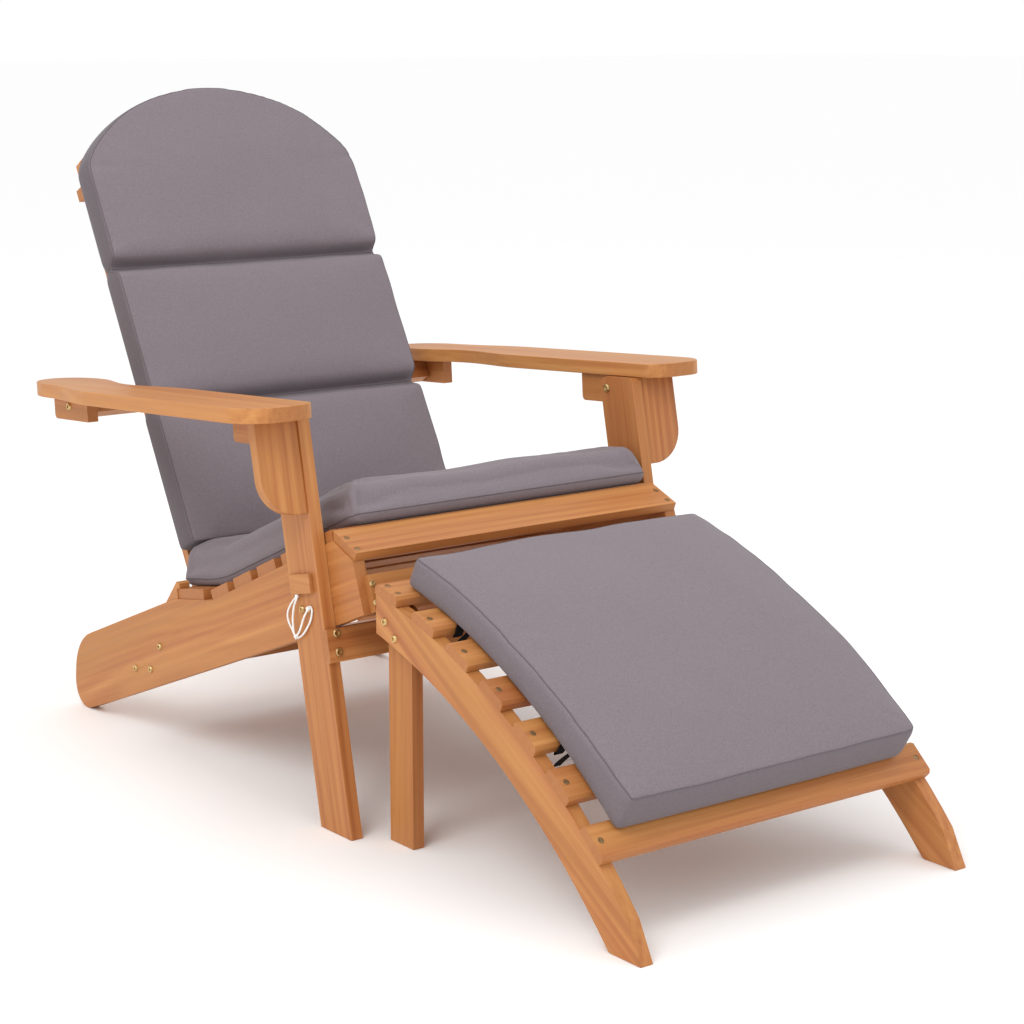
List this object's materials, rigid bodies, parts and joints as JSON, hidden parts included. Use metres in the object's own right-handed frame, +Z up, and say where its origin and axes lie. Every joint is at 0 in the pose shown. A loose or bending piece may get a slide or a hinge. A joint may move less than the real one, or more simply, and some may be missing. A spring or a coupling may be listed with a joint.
{
  "type": "folding adirondack chair",
  "caption": "Folding wooden adirondack chair with slatted seat and reclined arched back, wide arms, cushions and a curved slatted footrest.",
  "frame": {"origin": "on the floor, at the middle of the footprint of chair and footrest", "axes": "+X to the sitter's left, -Y to the front, where the footrest is, +Z up"},
  "size_m": [0.784, 1.4372, 0.9529],
  "materials": {
    "frame_wood": "oiled, satin",
    "slat_wood": "oiled, satin",
    "arm_wood": "oiled, satin",
    "peg_wood": "oiled, satin",
    "brass": "yellow zinc plate, satin",
    "dark_screw": "dark",
    "cord": "braided cord",
    "cushion_cloth": "woven, matte"
  },
  "bodies": {
    "seat_frame": {"seat_rail_right": "frame_wood", "seat_rail_left": "frame_wood", "front_apron": "frame_wood", "rear_stretchers": "frame_wood", "front_seat_slat": "slat_wood", "second_seat_slat": "slat_wood", "middle_seat_slats": "slat_wood", "rear_seat_slat": "slat_wood", "back_stop_blocks": "frame_wood", "seat_slat_screws": "dark_screw", "seat_frame_bolts": "brass", "seat_cushion": "cushion_cloth"},
    "front_legs": {"front_leg_right": "frame_wood", "front_leg_left": "frame_wood", "leg_stretcher": "frame_wood", "stretcher_bolts": "brass", "leg_pivot_bolts": "brass", "cord_eye_screws": "brass", "arm_bracket_right": "frame_wood", "arm_bracket_left": "frame_wood", "peg_cord_right": "cord", "peg_cord_left": "cord"},
    "right_arm": {"arm_right": "arm_wood", "arm_front_block_right": "frame_wood", "arm_rear_block_right": "frame_wood", "arm_bolts_right": "brass"},
    "left_arm": {"arm_left": "arm_wood", "arm_front_block_left": "frame_wood", "arm_rear_block_left": "frame_wood", "arm_bolts_left": "brass"},
    "back": {"back_slat_1": "slat_wood", "back_slat_2": "slat_wood", "back_slat_3": "slat_wood", "back_slat_4": "slat_wood", "back_slat_5": "slat_wood", "top_back_rail": "frame_wood", "arm_cross_rail": "frame_wood", "lower_back_rail": "frame_wood", "back_spacer_rail": "frame_wood", "back_slat_screws": "dark_screw", "back_hinge_pins": "brass", "back_cushion": "cushion_cloth"},
    "right_peg": {"lock_peg_right": "peg_wood"},
    "left_peg": {"lock_peg_left": "peg_wood"},
    "footrest": {"footrest_rail_right": "frame_wood", "footrest_rail_left": "frame_wood", "footrest_leg_right": "frame_wood", "footrest_leg_left": "frame_wood", "footrest_rear_slat": "slat_wood", "footrest_middle_slats": "slat_wood", "footrest_front_slat": "slat_wood", "footrest_leg_bar": "frame_wood", "footrest_screws": "dark_screw", "footrest_bolts": "brass", "footrest_cushion": "cushion_cloth"}
  },
  "joints": [
    {"name": "leg_fold", "type": "hinge", "parent": "seat_frame", "child": "front_legs", "pos_m": [0, -0.05574, 0.2905], "axis": [1, 0, 0], "range_deg": [0, 45]},
    {"name": "right_arm_turn", "type": "hinge", "parent": "front_legs", "child": "right_arm", "pos_m": [-0.284, 0.00426, 0.526], "axis": [1, 0, 0], "range_deg": [-38, 0]},
    {"name": "left_arm_turn", "type": "hinge", "parent": "front_legs", "child": "left_arm", "pos_m": [0.284, 0.00426, 0.526], "axis": [1, 0, 0], "range_deg": [-38, 0]},
    {"name": "back_fold", "type": "hinge", "parent": "seat_frame", "child": "back", "pos_m": [0, 0.34726, 0.201], "axis": [1, 0, 0], "range_deg": [0, 34], "deforming": ["back_cushion", "seat_cushion"]},
    {"name": "right_peg_pull", "type": "slide", "parent": "front_legs", "child": "right_peg", "axis": [-1, 0, 0], "range_m": [0, 0.03]},
    {"name": "left_peg_pull", "type": "slide", "parent": "front_legs", "child": "left_peg", "axis": [1, 0, 0], "range_m": [0, 0.03]},
    {"name": "footrest_pull", "type": "slide", "parent": "seat_frame", "child": "footrest", "axis": [0, -1, 0], "range_m": [0, 0.25]}
  ],
  "couplings": [
    {"joint": "right_arm_turn", "follows": "leg_fold", "ratio": -0.823},
    {"joint": "left_arm_turn", "follows": "leg_fold", "ratio": -0.823},
    {"joint": "back_fold", "follows": "leg_fold", "ratio": 0.739}
  ]
}
